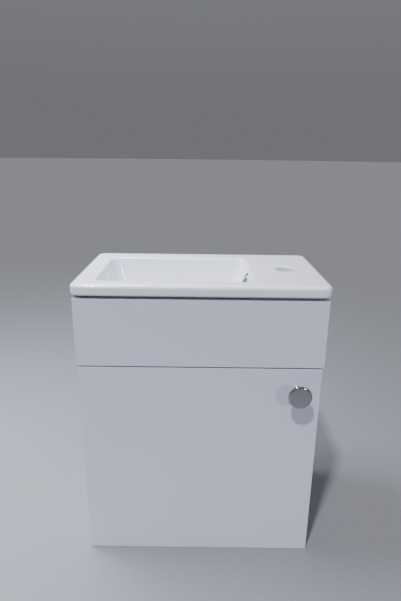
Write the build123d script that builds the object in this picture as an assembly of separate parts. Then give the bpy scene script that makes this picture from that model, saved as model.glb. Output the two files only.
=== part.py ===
from build123d import *
import os
from math import cos, radians, sin, tan

# Compact wall-hung vanity unit, in millimetres.
# Origin: centre between the two wall-plate screw holes, on the wall plane.
# +X is right as seen from the front, +Y goes into the wall, +Z is up.

# Cabinet
cabinet_width = 400.0
cabinet_height = 480.0
cabinet_top_z = 120.0
board = 16.0
carcass_depth = 213.0
door_gap = 2.0
board_edge_radius = 0.9
rail_height = 80.0
front_rail_depth = 60.0

# Fronts
fascia_height = 115.0
fascia_drop = 1.5
seam = 2.0
door_width = 395.0

# Basin
basin_width = 407.0
basin_depth = 235.0
rim_height = 21.0
rim_corner_radius = 16.0
rim_top_radius = 7.0
bowl_lip_radius = 5.0
rim_bottom_radius = 2.0
rim_relief = 3.5
foot_inset = 9.0
deck_thickness = 12.0
skirt_width = 16.0
sealant_thickness = 1.0
bowl_left = -168.0
bowl_right = 83.0
bowl_front = -207.5
bowl_back = -41.0
bowl_depth = 80.0
bowl_corner_radius = 16.0
bowl_floor_corner_radius = 30.0
bowl_floor_fillet = 24.0
wall_draft = 11.0
right_wall_draft = 15.0
ceramic_wall = 9.0
dish_depth = 3.0
dish_radius = 46.0
boss_radius = 38.0
boss_height = 12.0
tap_hole_x = 147.5
tap_hole_y = -119.0
tap_hole_radius = 17.5
tap_hole_edge = 3.0

# Overflow
overflow_drop = 21.0
overflow_hole_radius = 12.0
overflow_ring_radius = 14.0
overflow_bore_radius = 9.5
duct_width = 34.0
duct_passage_width = 22.0
duct_passage_depth = 9.0

# Waste
waste_hole_radius = 22.5
waste_thread_radius = 20.95
waste_shank_radius = 20.7
waste_bore_radius = 18.0
waste_flange_radius = 31.5
waste_flange_height = 3.0
waste_length = 62.0
plug_radius = 27.0
plug_travel = 7.0

# Door hinge: the door turns about one upright axis near its front left corner
hinge_axis_inset = 6.0
hinge_axis_depth = 1.5
hinge_offset_from_end = 75.0
cup_radius = 17.5
cup_from_edge = 22.5
cup_depth = 11.5
link_crank = 10.0
link_length = 40.0
link_thickness = 4.4
link_height = 10.0
arm_length = 59.0
arm_setback = 4.0
arm_wall = 1.4

# Knob
knob_from_edges = 38.0
knob_radius = 19.3
knob_projection = 26.0

# Hanging brackets
plate_hole_x = 150.0
plate_hole_radius = 3.25
plate_thickness = 2.0

# Values that follow from the ones above
half_width = cabinet_width / 2
inner_half = half_width - board
carcass_front = -carcass_depth
door_back = carcass_front - door_gap
door_front = door_back - board
fascia_back = door_back
fascia_front = door_front
bottom_z = cabinet_top_z - cabinet_height
fascia_top = cabinet_top_z - fascia_drop
fascia_bottom = fascia_top - fascia_height + fascia_drop
door_top = fascia_bottom - seam
door_left = -door_width / 2
door_right = door_width / 2
basin_bottom = cabinet_top_z + sealant_thickness
rim_top = basin_bottom + rim_height
floor_z = rim_top - bowl_depth
front_rail_z = (fascia_bottom + door_top) / 2 - board / 2
waste_x = (bowl_left + bowl_right - bowl_depth * (tan(radians(right_wall_draft)) - tan(radians(wall_draft)))) / 2
waste_y = (bowl_front + bowl_back) / 2
boss_bottom = floor_z - dish_depth - ceramic_wall - boss_height
flange_seat_z = floor_z - dish_depth
hinge_axis_x = door_left + hinge_axis_inset
hinge_axis_y = door_front + hinge_axis_depth
cup_x = door_left + cup_from_edge
hinge_heights = {
    "upper": door_top - hinge_offset_from_end,
    "lower": bottom_z + hinge_offset_from_end,
}
link_pin_x = cup_x - 5.0
link_pin_y = door_back - 4.5
knob_x = door_right - knob_from_edges
knob_z = door_top - knob_from_edges


def block(x0, x1, y0, y1, z0, z1):
    """A box between two corners."""
    size = Box(x1 - x0, y1 - y0, z1 - z0)
    return Pos((x0 + x1) / 2, (y0 + y1) / 2, (z0 + z1) / 2) * size


def rod(radius, start, end):
    """A round bar between two points."""
    a = Vector(start)
    b = Vector(end)
    plane = Plane(origin=a, z_dir=b - a)
    return plane * Cylinder(radius, (b - a).length, align=(Align.CENTER, Align.CENTER, Align.MIN))


def mirrored(shape):
    """The same shape on the other side of the unit."""
    return mirror(shape, about=Plane.YZ)


def soft_edges(shape, radius=board_edge_radius):
    """Every edge of a faced board, slightly rounded like its edge banding."""
    return fillet(shape.edges(), radius)


# Fasteners of the carcass

cam_radius = 7.4
cam_height = 12.4
cam_inset = 24.0
bolt_radius = 3.4
bolt_in_side = 11.0
dowel_radius = 4.0
dowel_half_length = 14.0
dowel_in_side = 10.0

# Each carcass joint: y, z and the direction that its cam is pressed in
rail_mid_y = -board / 2
bottom_mid_z = bottom_z + board / 2
front_rail_mid_z = front_rail_z + board / 2
cam_joints = [
    (carcass_front + 37.0, bottom_mid_z, "up"),
    (-53.0, bottom_mid_z, "up"),
    (carcass_front + 30.0, front_rail_mid_z, "up"),
    (rail_mid_y, cabinet_top_z - 20.0, "forward"),
    (rail_mid_y, bottom_z + board + 20.0, "forward"),
]
dowel_joints = [
    (carcass_front + 90.0, bottom_mid_z),
    (-100.0, bottom_mid_z),
    (carcass_front + 50.0, front_rail_mid_z),
    (rail_mid_y, cabinet_top_z - 58.0),
    (rail_mid_y, bottom_z + board + 58.0),
]


def cam_lock(y, z, way):
    """A turned cam with a cross recess, pressed in from the board's hidden face."""
    x = inner_half - cam_inset
    if way == "up":
        low = (x, y, z - board / 2 + 0.2)
        high = (x, y, z - board / 2 + 0.2 + cam_height)
        slot = block(x - 4.0, x + 4.0, y - 0.8, y + 0.8, low[2] - 1.0, low[2] + 2.5)
        cross = block(x - 0.8, x + 0.8, y - 4.0, y + 4.0, low[2] - 1.0, low[2] + 2.5)
    else:
        low = (x, y + board / 2 - 0.2, z)
        high = (x, y + board / 2 - 0.2 - cam_height, z)
        slot = block(x - 4.0, x + 4.0, low[1] - 2.5, low[1] + 1.0, z - 0.8, z + 0.8)
        cross = block(x - 0.8, x + 0.8, low[1] - 2.5, low[1] + 1.0, z - 4.0, z + 4.0)
    bolt_way = rod(bolt_radius + 0.2, (x - 2.0, y, z), (x + cam_radius + 1.0, y, z))
    return rod(cam_radius, low, high) - slot - cross - bolt_way


def cam_pocket(y, z, way):
    """The drilling that takes one cam and the bolt that it draws on."""
    x = inner_half - cam_inset
    if way == "up":
        drill = rod(cam_radius + 0.1, (x, y, z - board / 2 - 1.0), (x, y, z - board / 2 + 0.2 + cam_height))
    else:
        drill = rod(cam_radius + 0.1, (x, y + board / 2 + 1.0, z), (x, y + board / 2 - 0.2 - cam_height, z))
    return drill + rod(bolt_radius + 0.2, (x, y, z), (inner_half + 1.0, y, z))


def cam_bolt(y, z):
    """The steel bolt between a side panel and a cam, necked behind its head."""
    x = inner_half - cam_inset
    shank = rod(bolt_radius, (x + 2.6, y, z), (inner_half + bolt_in_side, y, z))
    neck = rod(bolt_radius - 1.4, (x - 0.4, y, z), (x + 2.6, y, z))
    head = rod(bolt_radius, (x - 1.8, y, z), (x - 0.4, y, z))
    return shank + neck + head


def dowel(y, z):
    """A fluted beech dowel shared by a side panel and the board that meets it."""
    peg = rod(
        dowel_radius,
        (inner_half - 2 * dowel_half_length + dowel_in_side, y, z),
        (inner_half + dowel_in_side, y, z),
    )
    return chamfer(peg.edges().filter_by(GeomType.CIRCLE), 1.0)


def cam_locks():
    right = [cam_lock(y, z, way) for y, z, way in cam_joints]
    return Compound(children=right + [mirrored(item) for item in right])


def cam_bolts():
    right = [cam_bolt(y, z) for y, z, way in cam_joints]
    return Compound(children=right + [mirrored(item) for item in right])


def wood_dowels():
    right = [dowel(y, z) for y, z in dowel_joints]
    return Compound(children=right + [mirrored(item) for item in right])


def drilled_board(shape):
    """A cross board with the cam and dowel drillings of both its ends."""
    for y, z, way in cam_joints:
        pocket = cam_pocket(y, z, way)
        shape = shape - pocket - mirrored(pocket)
    for y, z in dowel_joints:
        hole = rod(dowel_radius, (inner_half - 30.0, y, z), (inner_half + dowel_in_side, y, z))
        shape = shape - hole - mirrored(hole)
    return shape


# Carcass boards

def side_panel():
    """The right side panel, drilled for its bolts, dowels and hinge-plate screws."""
    panel = soft_edges(block(inner_half, half_width, carcass_front, 0.0, bottom_z, cabinet_top_z), 0.6)
    for y, z, way in cam_joints:
        panel = panel - rod(bolt_radius, (inner_half - 1.0, y, z), (inner_half + bolt_in_side, y, z))
    for y, z in dowel_joints:
        panel = panel - rod(dowel_radius, (inner_half - 1.0, y, z), (inner_half + dowel_in_side, y, z))
    for screw in side_screws():
        panel = panel - screw
    return panel


def left_side_panel():
    panel = mirrored(side_panel())
    for screw in hinge_plate_screw_list():
        panel = panel - screw
    return panel


def bottom_panel():
    return drilled_board(block(-inner_half, inner_half, carcass_front, 0.0, bottom_z, bottom_z + board))


def back_rail_top():
    return drilled_board(block(-inner_half, inner_half, -board, 0.0, cabinet_top_z - rail_height, cabinet_top_z))


def back_rail_bottom():
    low = bottom_z + board
    return drilled_board(block(-inner_half, inner_half, -board, 0.0, low, low + rail_height))


def front_rail():
    """The flat stretcher behind the seam; it closes the gap between fascia and door."""
    rail = block(
        -inner_half, inner_half, carcass_front, carcass_front + front_rail_depth, front_rail_z, front_rail_z + board
    )
    return drilled_board(rail)


def fascia_panel():
    panel = block(-half_width, half_width, fascia_front, fascia_back, fascia_bottom, fascia_top)
    panel = soft_edges(panel)
    for screw in fascia_screws():
        panel = panel - screw
    return panel


# Screws

def pan_screw(head_centre, way, length, shank=1.75, head=3.6, head_height=2.0):
    """A pan-head screw whose head rests at head_centre and whose shank runs along way."""
    start = Vector(head_centre)
    along = Vector(way)
    top = start - along * head_height
    body = rod(head, top, start)
    rim = body.edges().filter_by(GeomType.CIRCLE).sort_by_distance(top)[0]
    rounded = fillet(rim, min(head_height * 0.6, 1.2))
    shaft = rod(shank, start, start + along * length)
    recess_plane = Plane(origin=top, z_dir=along)
    recess = recess_plane * (Box(3.6, 0.9, 2.0) + Box(0.9, 3.6, 2.0))
    return rounded + shaft - recess


# Fascia brackets

bracket_leg = 22.0
bracket_width = 18.0
bracket_gauge = 2.0
bracket_z = 44.0


def fascia_bracket():
    """A folded steel angle that ties the fascia to the right side panel."""
    x1 = inner_half
    y0 = fascia_back
    on_side = block(x1 - bracket_gauge, x1, y0, y0 + bracket_leg, bracket_z, bracket_z + bracket_width)
    on_fascia = block(x1 - bracket_leg, x1, y0, y0 + bracket_gauge, bracket_z, bracket_z + bracket_width)
    angle = on_side + on_fascia
    screws = [bracket_side_screw(), bracket_fascia_screw()]
    for screw in screws:
        angle = angle - screw
    return angle


def bracket_side_screw():
    place = (inner_half - bracket_gauge, carcass_front + 13.0, bracket_z + bracket_width / 2)
    return pan_screw(place, (1, 0, 0), 13.0)


def bracket_fascia_screw():
    place = (inner_half - 13.0, fascia_back + bracket_gauge, bracket_z + bracket_width / 2)
    return pan_screw(place, (0, -1, 0), 13.0)


def fascia_screws():
    screw = bracket_fascia_screw()
    return [screw, mirrored(screw)]


# Hanging brackets

hanger_depth = 34.0
hanger_thickness = 17.0
hanger_low = -24.0
hanger_high = 26.0
hook_width = 9.0
hook_gauge = 2.6
lip_top = 28.0
ledge_z = 20.0
groove = 4.0
hanger_front = -12.0 - hanger_depth


def hanger_body():
    """The moulded housing of the right hanging bracket, screwed to the side panel."""
    x0 = inner_half - hanger_thickness
    body = block(x0, inner_half, hanger_front, -12.0, hanger_low, hanger_high)
    upright = body.edges().filter_by(Axis.Z).sort_by(Axis.X)[:2]
    body = fillet(upright, 3.0)
    hook_slot = block(x0 + 3.5, inner_half - 3.5, hanger_front + 8.0, -11.0, hanger_high - 7.0, hanger_high + 1.0)
    body = body - hook_slot
    for screw in hanger_screw_list():
        body = body - screw
    for screw in hanger_adjuster_list():
        body = body - screw
    return body


def hanger_hook():
    """The steel hook that reaches out of the housing and drops behind the wall plate's lip."""
    x_mid = inner_half - hanger_thickness / 2
    x0 = x_mid - hook_width / 2
    x1 = x_mid + hook_width / 2
    tail = block(x0, x1, hanger_front + 8.4, hanger_front + 8.4 + hook_gauge, hanger_high - 6.8, lip_top + 0.4)
    strap = block(x0, x1, hanger_front + 8.4, -plate_thickness - 0.3, lip_top + 0.4, lip_top + 0.4 + hook_gauge)
    drop = block(x0, x1, -plate_thickness - 0.3 - hook_gauge, -plate_thickness - 0.3, ledge_z, lip_top + 1.0)
    return tail + strap + drop


def wall_plate():
    """The right wall plate: a flat plate with a ledge and an upturned lip, and one wall screw hole."""
    x1 = inner_half - 2.0
    x0 = x1 - 56.0
    lip_y = -plate_thickness - groove - plate_thickness
    back = block(x0, x1, -plate_thickness, 0.0, -20.0, ledge_z)
    back = fillet(back.edges().filter_by(Axis.Y).sort_by(Axis.Z)[:2], 6.0)
    ledge = block(x0, x1, lip_y, 0.0, ledge_z - plate_thickness, ledge_z)
    lip = block(x0, x1, lip_y, lip_y + plate_thickness, ledge_z - plate_thickness, lip_top)
    hole = rod(plate_hole_radius, (plate_hole_x, -plate_thickness - 1.0, 0.0), (plate_hole_x, 1.0, 0.0))
    return back + ledge + lip - hole


def hanger_screw_list():
    x0 = inner_half - hanger_thickness
    heights = (hanger_low + 9.0, hanger_low + 27.0)
    return [pan_screw((x0, -20.0, z), (1, 0, 0), hanger_thickness + 12.0, head=4.0) for z in heights]


def hanger_adjuster_list():
    x_mid = inner_half - hanger_thickness / 2
    heights = (hanger_low + 18.0, hanger_low + 36.0)
    return [pan_screw((x_mid, hanger_front, z), (0, 1, 0), 10.0, shank=2.5, head=4.0) for z in heights]


def side_screws():
    """Screws that enter the right side panel, and by mirroring the left one."""
    return [bracket_side_screw()] + hanger_screw_list()


def bracket_screws():
    right = [bracket_side_screw(), bracket_fascia_screw()]
    return Compound(children=right + [mirrored(item) for item in right])


def hanger_screws():
    right = hanger_screw_list()
    return Compound(children=right + [mirrored(item) for item in right])


def hanger_adjusters():
    right = hanger_adjuster_list()
    return Compound(children=right + [mirrored(item) for item in right])


# Door and its furniture

def door():
    """The door leaf, drilled for two hinge cups and the knob screw."""
    leaf = soft_edges(block(door_left, door_right, door_front, door_back, bottom_z, door_top))
    for z in hinge_heights.values():
        leaf = leaf - rod(cup_radius + 0.1, (cup_x, door_back + 1.0, z), (cup_x, door_back - cup_depth - 0.2, z))
    for screw in cup_screw_list():
        leaf = leaf - screw
    leaf = leaf - rod(2.4, (knob_x, door_front - 1.0, knob_z), (knob_x, door_back + 1.0, knob_z))
    return leaf


def knob():
    """The turned knob: a flat face with a fine bevel, a thin rim and a waisted stem."""
    r = knob_radius
    p = knob_projection
    with BuildSketch(Plane.XZ) as section:
        with BuildLine():
            Polyline((0, 0), (8.5, 0), (8.5, 1.6))
            Line((8.5, 1.6), (7.4, 2.6))
            RadiusArc((7.4, 2.6), (r - 1.4, p - 5.2), 24.0)
            Line((r - 1.4, p - 5.2), (r, p - 4.0))
            Line((r, p - 4.0), (r, p - 1.6))
            Line((r, p - 1.6), (r - 2.6, p))
            Line((r - 2.6, p), (0, p))
            Line((0, p), (0, 0))
        make_face()
    turned = revolve(section.sketch, Axis.Z)
    socket = Cylinder(2.0, 13.0, align=(Align.CENTER, Align.CENTER, Align.MIN))
    turned = turned - socket
    return Pos(knob_x, door_front, knob_z) * Rot(90, 0, 0) * turned


def knob_screw():
    place = (knob_x, door_back, knob_z)
    return pan_screw(place, (0, -1, 0), board + 12.0, shank=1.95, head=4.2, head_height=2.4)


def door_buffers():
    """Two soft stick-on pads that the closed door rests on the side panel with."""
    pads = []
    for z in (door_top - 14.0, bottom_z + 14.0):
        pad = rod(4.0, (door_right - 7.0, door_back, z), (door_right - 7.0, door_back + door_gap - 0.3, z))
        pads.append(fillet(pad.edges().sort_by(Axis.Y)[-1], 0.8))
    return Compound(children=pads)


# Concealed hinges

flange_gauge = 1.1
flange_half = 26.0
cup_wall = 1.2
cup_screw_z = 20.5
cup_screw_inset = 4.0


def hinge_cup(z):
    """The pressed steel cup with its screw flange and the pin that the link turns on."""
    body = rod(cup_radius, (cup_x, door_back, z), (cup_x, door_back - cup_depth, z))
    flange = rod(cup_radius + 1.6, (cup_x, door_back, z), (cup_x, door_back + flange_gauge, z))
    ears = block(
        cup_x - 1.0, cup_x + 10.0, door_back, door_back + flange_gauge, z - flange_half, z + flange_half
    )
    ears = fillet(ears.edges().filter_by(Axis.Y), 5.0)
    hollow = rod(
        cup_radius - cup_wall,
        (cup_x, door_back + flange_gauge + 1.0, z),
        (cup_x, door_back - cup_depth + cup_wall, z),
    )
    reach = (cup_radius - cup_wall) * 0.96
    pin = rod(1.5, (link_pin_x, link_pin_y, z - reach), (link_pin_x, link_pin_y, z + reach))
    cup = body + flange + ears - hollow + pin
    for screw in cup_screws_at(z):
        cup = cup - screw
    return cup


def cup_screws_at(z):
    """A cup's two screws, in line with its ears."""
    x = cup_x + cup_screw_inset
    offset = flange_half - 5.0
    return [
        pan_screw((x, door_back + flange_gauge, z + side * offset), (0, -1, 0), 11.0, head=3.2, head_height=0.8)
        for side in (-1, 1)
    ]


def cup_screw_list():
    return [screw for z in hinge_heights.values() for screw in cup_screws_at(z)]


def hinge_cup_screws():
    return Compound(children=cup_screw_list())


def hinge_link(z):
    """The cranked link: it turns on the cup's pin and its tail runs inside the arm."""
    half = link_thickness / 2
    bend_x = link_pin_x + link_crank
    low = z - link_height / 2
    high = z + link_height / 2
    crank = block(link_pin_x, bend_x + half, link_pin_y - half, link_pin_y + half, low, high)
    bar = block(bend_x - half, bend_x + half, link_pin_y - half, link_pin_y + link_length, low, high)
    eye = rod(3.2, (link_pin_x, link_pin_y, low), (link_pin_x, link_pin_y, high))
    link = crank + bar + eye
    inner = link.edges().filter_by(Axis.Z).sort_by_distance((bend_x - half, link_pin_y + half, z))[0]
    link = fillet(inner, 2.0)
    tail = rod(half, (bend_x, link_pin_y + link_length, low), (bend_x, link_pin_y + link_length, high))
    pin_hole = rod(1.55, (link_pin_x, link_pin_y, low - 1.0), (link_pin_x, link_pin_y, high + 1.0))
    return link + tail - pin_hole


arm_near = -inner_half + 3.0
arm_far = link_pin_x + link_crank + 10.0 + arm_wall
arm_front = carcass_front + arm_setback
arm_inner_half = link_height / 2 + 1.0
boss_front = arm_front + 37.0


def hinge_arm(z):
    """The channel-shaped arm that stands off the side panel and holds the link's tail."""
    outer_half = arm_inner_half + arm_wall
    shell = block(arm_near, arm_far, arm_front, arm_front + arm_length, z - outer_half, z + outer_half)
    crown = shell.edges().filter_by(Axis.Y).sort_by(Axis.X)[-2:]
    shell = fillet(crown, 2.0)
    channel = block(
        arm_near - 1.0, arm_far - arm_wall, arm_front - 1.0, arm_front + arm_length + 1.0,
        z - arm_inner_half, z + arm_inner_half
    )
    arm = shell - channel
    slot = block(arm_far - 2 * arm_wall, arm_far + 1.0, boss_front - 4.0, boss_front + 12.0, z - 2.2, z + 2.2)
    return arm - slot


plate_screw_y = carcass_front + 37.0
plate_screw_half = 16.0


def hinge_plate(z):
    """The cross-shaped mounting plate, with the boss that the arm clips over."""
    x0 = -inner_half
    wings = block(
        x0, x0 + 2.4, plate_screw_y - 7.0, plate_screw_y + 7.0, z - plate_screw_half - 6.0, z + plate_screw_half + 6.0
    )
    wings = fillet(wings.edges().filter_by(Axis.X), 5.0)
    spine = block(x0, x0 + 2.4, arm_front + 2.0, arm_front + arm_length, z - 9.0, z + 9.0)
    boss = block(x0, arm_far - arm_wall, boss_front, arm_front + arm_length - 2.0, z - 5.9, z + 5.9)
    plate = wings + spine + boss
    for screw in plate_screws_at(z):
        plate = plate - screw
    return plate


def plate_screws_at(z):
    x = -inner_half + 2.4
    return [
        pan_screw((x, plate_screw_y, z + side * plate_screw_half), (-1, 0, 0), 12.5)
        for side in (-1, 1)
    ]


def hinge_plate_screw_list():
    return [screw for z in hinge_heights.values() for screw in plate_screws_at(z)]


def hinge_plate_screws():
    return Compound(children=hinge_plate_screw_list())


# Basin

def rounded_level(x0, x1, y0, y1, radius, z):
    """A level rounded rectangle between two corners."""
    outline = RectangleRounded(x1 - x0, y1 - y0, radius)
    return Pos((x0 + x1) / 2, (y0 + y1) / 2, z) * outline


def bowl_space():
    """The hollow of the bowl, from above the rim down to its dished floor."""
    side_fall = bowl_depth * tan(radians(wall_draft))
    right_fall = bowl_depth * tan(radians(right_wall_draft))
    top = rounded_level(bowl_left, bowl_right, bowl_front, bowl_back, bowl_corner_radius, rim_top)
    low = rounded_level(
        bowl_left + side_fall, bowl_right - right_fall, bowl_front + side_fall, bowl_back - side_fall,
        bowl_floor_corner_radius, floor_z
    )
    space = loft([low, top], ruled=True)
    floor_edges = space.edges().group_by(Axis.Z)[0]
    return fillet(floor_edges, bowl_floor_fillet)


def bowl_outside():
    """The outer skin of the bowl below the deck."""
    side_fall = (bowl_depth + ceramic_wall) * tan(radians(wall_draft))
    right_fall = (bowl_depth + ceramic_wall) * tan(radians(right_wall_draft))
    w = ceramic_wall
    top = rounded_level(
        bowl_left - w, bowl_right + w, bowl_front - w, bowl_back + w, bowl_corner_radius + w, rim_top
    )
    low = rounded_level(
        bowl_left - w + side_fall, bowl_right + w - right_fall,
        bowl_front - w + side_fall, bowl_back + w - side_fall,
        bowl_floor_corner_radius + w, floor_z - w
    )
    skin = loft([low, top], ruled=True)
    skin = fillet(skin.edges().group_by(Axis.Z)[0], bowl_floor_fillet)
    return skin - block(-300, 300, -300, 100, basin_bottom + rim_height - 1.0, rim_top + 50)


overflow_z = rim_top - overflow_drop
overflow_wall_x = bowl_right - overflow_drop * tan(radians(right_wall_draft))
overflow_normal = (-cos(radians(right_wall_draft)), 0.0, sin(radians(right_wall_draft)))


def along_overflow(distance):
    """A point on the overflow's axis; positive distances lie inside the bowl."""
    x = overflow_wall_x + overflow_normal[0] * distance
    z = overflow_z + overflow_normal[2] * distance
    return (x, waste_y, z)


duct_back = bowl_right + ceramic_wall + 8.0
passage_x1 = duct_back - 5.0
passage_x0 = passage_x1 - duct_passage_depth
channel_low = boss_bottom + 5.0
channel_high = channel_low + 8.0


def overflow_duct():
    """The cast channel that leads the overflow down the right wall and under the floor."""
    half = duct_width / 2
    upright = block(
        overflow_wall_x, duct_back, waste_y - half, waste_y + half, boss_bottom, basin_bottom + rim_height - 4.0
    )
    under = block(waste_x, duct_back, waste_y - half, waste_y + half, boss_bottom, flange_seat_z)
    duct = upright + under
    corners = duct.edges().filter_by(Axis.Z).sort_by(Axis.X)[-2:]
    return fillet(corners, 6.0)


def overflow_passage():
    half = duct_passage_width / 2
    down = block(passage_x0, passage_x1, waste_y - half, waste_y + half, channel_low, overflow_z + 9.0)
    along = block(waste_x, passage_x1, waste_y - half, waste_y + half, channel_low, channel_high)
    mouth = rod(overflow_hole_radius, along_overflow(6.0), along_overflow(-16.0))
    return down + along + mouth


def basin():
    """The glazed basin: skirted rim, bowl on the left, flat tap ledge on the right."""
    half = basin_width / 2
    underside = basin_bottom + rim_relief
    rim = extrude(rounded_level(-half, half, -basin_depth, 0.0, rim_corner_radius, underside), rim_top - underside)
    rim = fillet(rim.edges().group_by(Axis.Z)[-1], rim_top_radius)
    rim = fillet(rim.edges().group_by(Axis.Z)[0], rim_bottom_radius)
    foot = rounded_level(
        -half + foot_inset, half - foot_inset, -basin_depth + foot_inset, -foot_inset, 8.0, basin_bottom
    )
    rim = rim + extrude(foot, rim_relief + 1.0)
    inner = skirt_width
    under = extrude(
        rounded_level(-half + inner, half - inner, -basin_depth + inner, -inner, 6.0, basin_bottom - 1.0),
        rim_height - deck_thickness + 1.0,
    )
    body = rim - under
    body = body + bowl_outside()
    boss = rod(boss_radius, (waste_x, waste_y, boss_bottom), (waste_x, waste_y, flange_seat_z))
    body = body + boss + overflow_duct()
    dish = Pos(waste_x, waste_y, flange_seat_z) * Cone(
        waste_flange_radius + 1.5, dish_radius, dish_depth, align=(Align.CENTER, Align.CENTER, Align.MIN)
    )
    body = body - bowl_space() - dish
    waste_hole = rod(waste_hole_radius, (waste_x, waste_y, boss_bottom - 1.0), (waste_x, waste_y, floor_z + 1.0))
    body = body - waste_hole - overflow_passage()
    body = fillet(bowl_lip(body), bowl_lip_radius)
    tap_hole = rod(tap_hole_radius, (tap_hole_x, tap_hole_y, 0.0), (tap_hole_x, tap_hole_y, rim_top + 1.0))
    body = body - tap_hole
    lip = body.edges().filter_by(GeomType.CIRCLE).sort_by_distance((tap_hole_x, tap_hole_y, rim_top + 5.0))[0]
    return fillet(lip, tap_hole_edge)


def bowl_lip(body):
    """The edges where the bowl meets the flat top."""
    at_top = [e for e in body.edges() if abs(e.center().Z - rim_top) < 0.01]
    outside = basin_width / 2 - rim_top_radius - 0.5
    in_x = [e for e in at_top if bowl_left - 1.0 < e.center().X < bowl_right + 1.0 and abs(e.center().X) < outside]
    return [e for e in in_x if bowl_front - 1.0 < e.center().Y < bowl_back + 1.0]


def overflow_ring():
    """The chromed trim ring: a domed collar with a sleeve in the ceramic."""
    collar = rod(overflow_ring_radius, along_overflow(0.0), along_overflow(2.6))
    collar = fillet(collar.edges().sort_by_distance(along_overflow(2.6))[0], 1.8)
    sleeve = rod(overflow_hole_radius - 0.3, along_overflow(0.0), along_overflow(-7.0))
    bore = rod(overflow_bore_radius, along_overflow(4.0), along_overflow(-8.0))
    return collar + sleeve - bore


# Waste fitting

seal_height = 1.6
gasket_height = 5.0
nut_height = 9.0
flange_low = flange_seat_z + seal_height
flange_top = flange_low + waste_flange_height
tube_bottom = flange_low - waste_length
nut_high = boss_bottom - gasket_height
nut_low = nut_high - nut_height
spindle_radius = 3.0


def waste_rod(radius, z0, z1):
    return rod(radius, (waste_x, waste_y, z0), (waste_x, waste_y, z1))


def waste_body():
    """The chromed brass waste: flange, tube, overflow windows and the bridge that guides the plug."""
    flange = waste_rod(waste_flange_radius, flange_low, flange_top)
    flange = fillet(flange.edges().sort_by(Axis.Z)[-1], 1.2)
    tube = waste_rod(waste_shank_radius, nut_low, flange_low) + waste_rod(waste_thread_radius, tube_bottom, nut_low)
    body = flange + tube - waste_rod(waste_bore_radius, tube_bottom - 1.0, flange_top + 1.0)
    window_half = 5.0
    for x_half, y_half in ((30.0, window_half), (window_half, 30.0)):
        body = body - block(
            waste_x - x_half, waste_x + x_half, waste_y - y_half, waste_y + y_half, channel_low, channel_high
        )
    bridge_z = flange_low - 6.0
    bridge = block(waste_x - 19.0, waste_x + 19.0, waste_y - 3.0, waste_y + 3.0, bridge_z, bridge_z + 3.0)
    hub = waste_rod(5.5, bridge_z - 4.0, bridge_z + 7.0)
    return body + bridge + hub - waste_rod(spindle_radius + 0.06, bridge_z - 5.0, bridge_z + 8.0)


def waste_plug():
    """The push plug, raised as it stands open: a domed cap on a spindle."""
    low = flange_top + plug_travel + 0.3
    cap = waste_rod(plug_radius, low, low + 4.0)
    cap = fillet(cap.edges().sort_by(Axis.Z)[-1], 2.4)
    spindle = waste_rod(spindle_radius, flange_low - 30.0, low)
    return cap + spindle


def plug_seal():
    """The soft ring under the plug's cap."""
    low = flange_top + plug_travel + 0.3
    ring = waste_rod(16.5, low - 2.0, low)
    return ring - waste_rod(spindle_radius, low - 3.0, low + 1.0)


def waste_seal():
    ring = waste_rod(waste_flange_radius - 2.0, flange_seat_z, flange_low)
    return ring - waste_rod(waste_shank_radius, flange_seat_z - 1.0, flange_low + 1.0)


def waste_gasket():
    ring = waste_rod(29.0, nut_high, boss_bottom)
    ring = chamfer(ring.edges().sort_by(Axis.Z)[-1], 1.5)
    return ring - waste_rod(waste_shank_radius, nut_high - 1.0, boss_bottom + 1.0)


def waste_backnut():
    """The flanged hexagonal backnut that clamps the waste to the basin."""
    flange = waste_rod(30.0, nut_high - 3.0, nut_high)
    hexagon = Pos(waste_x, waste_y, nut_low) * extrude(RegularPolygon(27.5, 6), nut_height - 3.0)
    return flange + hexagon - waste_rod(waste_shank_radius, nut_low - 1.0, nut_high + 1.0)


def sealant_bead():
    """The bead of sanitary sealant that the basin is bedded on."""
    x0 = basin_width / 2 - skirt_width + 1.0
    x1 = basin_width / 2 - foot_inset - 0.5
    y1 = -foot_inset - 1.0
    z0 = cabinet_top_z
    z1 = basin_bottom
    right = block(x0, x1, carcass_front + 6.0, y1, z0, z1)
    back = block(-x1, x1, y1 - 5.5, y1, z0, z1)
    return right + mirrored(right) + back


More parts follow.
